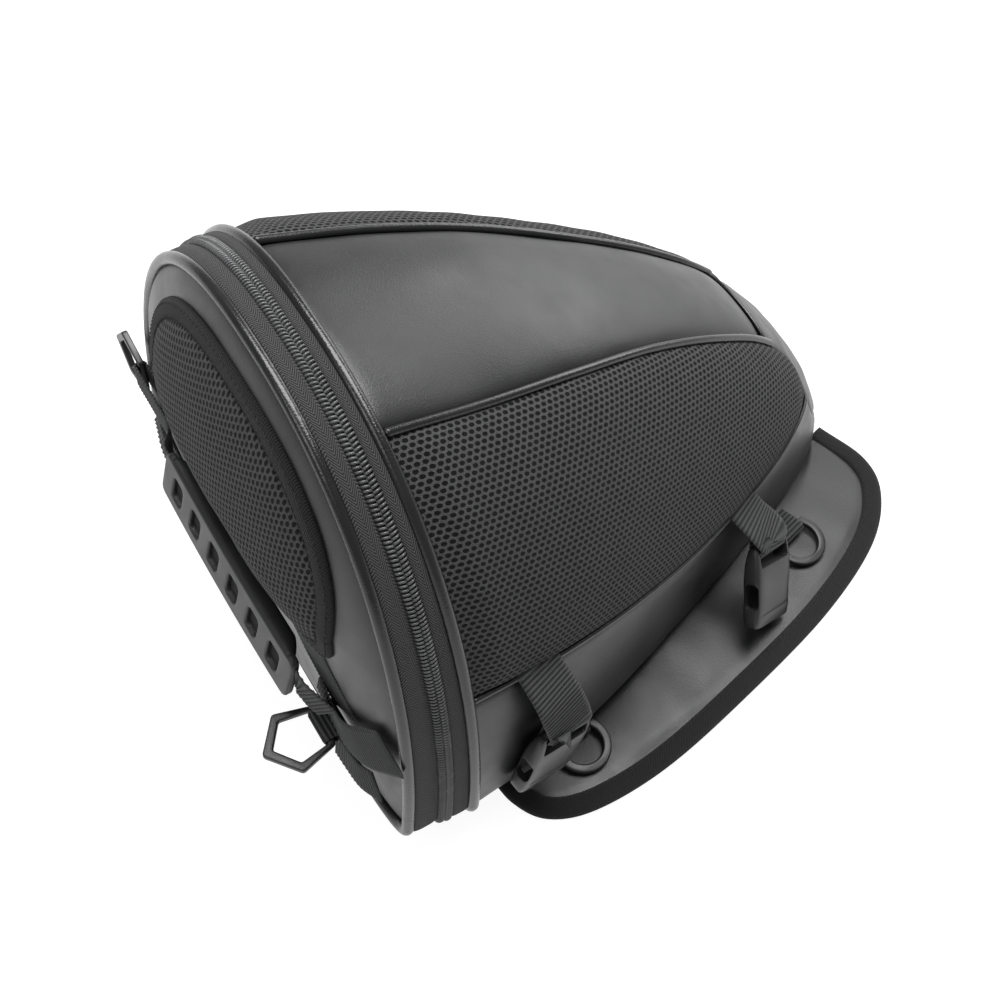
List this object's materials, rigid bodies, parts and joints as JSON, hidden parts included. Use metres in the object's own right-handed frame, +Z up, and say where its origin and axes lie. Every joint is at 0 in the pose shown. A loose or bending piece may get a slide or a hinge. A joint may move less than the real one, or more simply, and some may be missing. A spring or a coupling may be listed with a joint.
{
  "type": "motorcycle tail bag",
  "caption": "Soft shell bag that tapers from a domed zipped end to a low nose, with a carry handle, side wings, strap rings and buckles.",
  "frame": {"origin": "centre of the flat underside, midway along the whole bag", "axes": "+Z up from the surface that the bag stands on, +Y towards the low nose, +X to the right when the nose is ahead"},
  "size_m": [0.3298, 0.3838, 0.244],
  "materials": {
    "leather": "smooth, softly shining, fine grain",
    "mesh": "padded air mesh with rows of small staggered holes",
    "fabric": "woven tape, matt",
    "webbing": "ribbed woven webbing, matt",
    "coil": "moulded zip coil",
    "plastic": "moulded, satin",
    "rubber": "moulded, satin",
    "metal": "black paint, satin",
    "board": "plain stiff sheet"
  },
  "bodies": {
    "bag_body": {"top_panel": "leather", "nose_panel": "leather", "side_panel_right": "mesh", "lower_band_right": "leather", "top_piping_right": "leather", "low_piping_right": "leather", "side_panel_left": "mesh", "lower_band_left": "leather", "top_piping_left": "leather", "low_piping_left": "leather", "base_panel": "leather", "base_board": "board", "body_rim_piping": "leather", "zip_tape_body": "fabric", "zip_coil_body": "coil", "hinge_tape": "fabric", "buckle_loop_front_right": "webbing", "buckle_loop_rear_right": "webbing", "buckle_loop_front_left": "webbing", "buckle_loop_rear_left": "webbing"},
    "lid": {"lid_rim_piping": "leather", "zip_tape_lid": "fabric", "zip_coil_lid": "coil", "lid_shell": "leather", "lid_board": "board", "lid_pad": "mesh", "lid_pad_binding": "webbing", "ring_tab_right": "webbing", "lid_strap_left": "webbing", "lid_strap_right": "webbing", "strap_tail_right": "webbing", "strap_tail_left": "webbing"},
    "handle": {"handle_grip": "rubber", "handle_webbing_right": "webbing", "handle_webbing_left": "webbing"},
    "lid_ring_right": {"lid_ring_right": "plastic"},
    "lid_ring_left": {"lid_ring_left": "plastic"},
    "zip_slider": {"zip_slider": "metal"},
    "slider_pull": {"slider_pull": "metal"},
    "buckle_front_right": {"buckle_front_right": "plastic"},
    "buckle_rear_right": {"buckle_rear_right": "plastic"},
    "buckle_front_left": {"buckle_front_left": "plastic"},
    "buckle_rear_left": {"buckle_rear_left": "plastic"},
    "wing_right": {"wing_right": "leather", "wing_binding_right": "webbing", "ring_loop_front_right": "webbing", "ring_loop_rear_right": "webbing"},
    "wing_left": {"wing_left": "leather", "wing_binding_left": "webbing", "ring_loop_front_left": "webbing", "ring_loop_rear_left": "webbing"},
    "wing_ring_front_right": {"wing_ring_front_right": "plastic"},
    "wing_ring_rear_right": {"wing_ring_rear_right": "plastic"},
    "wing_ring_front_left": {"wing_ring_front_left": "plastic"},
    "wing_ring_rear_left": {"wing_ring_rear_left": "plastic"}
  },
  "joints": [
    {"name": "lid_hinge", "type": "hinge", "parent": "bag_body", "child": "lid", "pos_m": [0, -0.1476, 0.003], "axis": [1, 0, 0], "range_deg": [0, 70]},
    {"name": "handle_flip", "type": "hinge", "parent": "lid", "child": "handle", "pos_m": [0, -0.1589, 0.064], "axis": [1, 0, 0], "range_deg": [0, 40]},
    {"name": "ring_right_swing", "type": "hinge", "parent": "lid", "child": "lid_ring_right", "pos_m": [0.081, -0.1609, 0.058], "axis": [1, 0, 0], "range_deg": [-30, 85]},
    {"name": "ring_left_swing", "type": "hinge", "parent": "lid", "child": "lid_ring_left", "pos_m": [-0.127, -0.1533, 0.083], "axis": [0, 0, 1], "range_deg": [0, 100]},
    {"name": "zip_slide", "type": "slide", "parent": "bag_body", "child": "zip_slider", "axis": [0, 0, 1], "range_m": [0, 0.033]},
    {"name": "pull_swing", "type": "hinge", "parent": "zip_slider", "child": "slider_pull", "pos_m": [-0.1441, -0.12887, 0.042], "axis": [0, 1, 0], "range_deg": [0, 150]},
    {"name": "buckle_front_right_swing", "type": "hinge", "parent": "bag_body", "child": "buckle_front_right", "pos_m": [0.1425, -0.0684, 0.0725], "axis": [0.1264, -0.9606, 0.2476], "range_deg": [0, 80]},
    {"name": "buckle_rear_right_swing", "type": "hinge", "parent": "bag_body", "child": "buckle_rear_right", "pos_m": [0.1, 0.0861, 0.046], "axis": [0.1802, -0.8789, 0.4416], "range_deg": [0, 50]},
    {"name": "buckle_front_left_swing", "type": "hinge", "parent": "bag_body", "child": "buckle_front_left", "pos_m": [-0.1425, -0.0684, 0.0725], "axis": [0.1264, 0.9606, -0.2476], "range_deg": [0, 80]},
    {"name": "buckle_rear_left_swing", "type": "hinge", "parent": "bag_body", "child": "buckle_rear_left", "pos_m": [-0.1, 0.0861, 0.046], "axis": [0.1802, 0.8789, -0.4416], "range_deg": [0, 50]},
    {"name": "wing_right_fold", "type": "hinge", "parent": "bag_body", "child": "wing_right", "pos_m": [0.0678, 0.0411, 0], "axis": [-0.2515, 0.9679, 0], "range_deg": [0, 50]},
    {"name": "wing_left_fold", "type": "hinge", "parent": "bag_body", "child": "wing_left", "pos_m": [-0.0678, 0.0411, 0], "axis": [-0.2515, -0.9679, 0], "range_deg": [0, 50]},
    {"name": "wing_ring_front_right_swing", "type": "hinge", "parent": "wing_right", "child": "wing_ring_front_right", "pos_m": [0.1265, -0.0459, 0.0086], "axis": [0.14, -0.9901, 0], "range_deg": [0, 70]},
    {"name": "wing_ring_rear_right_swing", "type": "hinge", "parent": "wing_right", "child": "wing_ring_rear_right", "pos_m": [0.085, 0.1211, 0.0086], "axis": [0.28, -0.96, 0], "range_deg": [0, 110]},
    {"name": "wing_ring_front_left_swing", "type": "hinge", "parent": "wing_left", "child": "wing_ring_front_left", "pos_m": [-0.1265, -0.0459, 0.0086], "axis": [0.14, 0.9901, 0], "range_deg": [0, 70]},
    {"name": "wing_ring_rear_left_swing", "type": "hinge", "parent": "wing_left", "child": "wing_ring_rear_left", "pos_m": [-0.085, 0.1211, 0.0086], "axis": [0.28, 0.96, 0], "range_deg": [0, 110]}
  ]
}
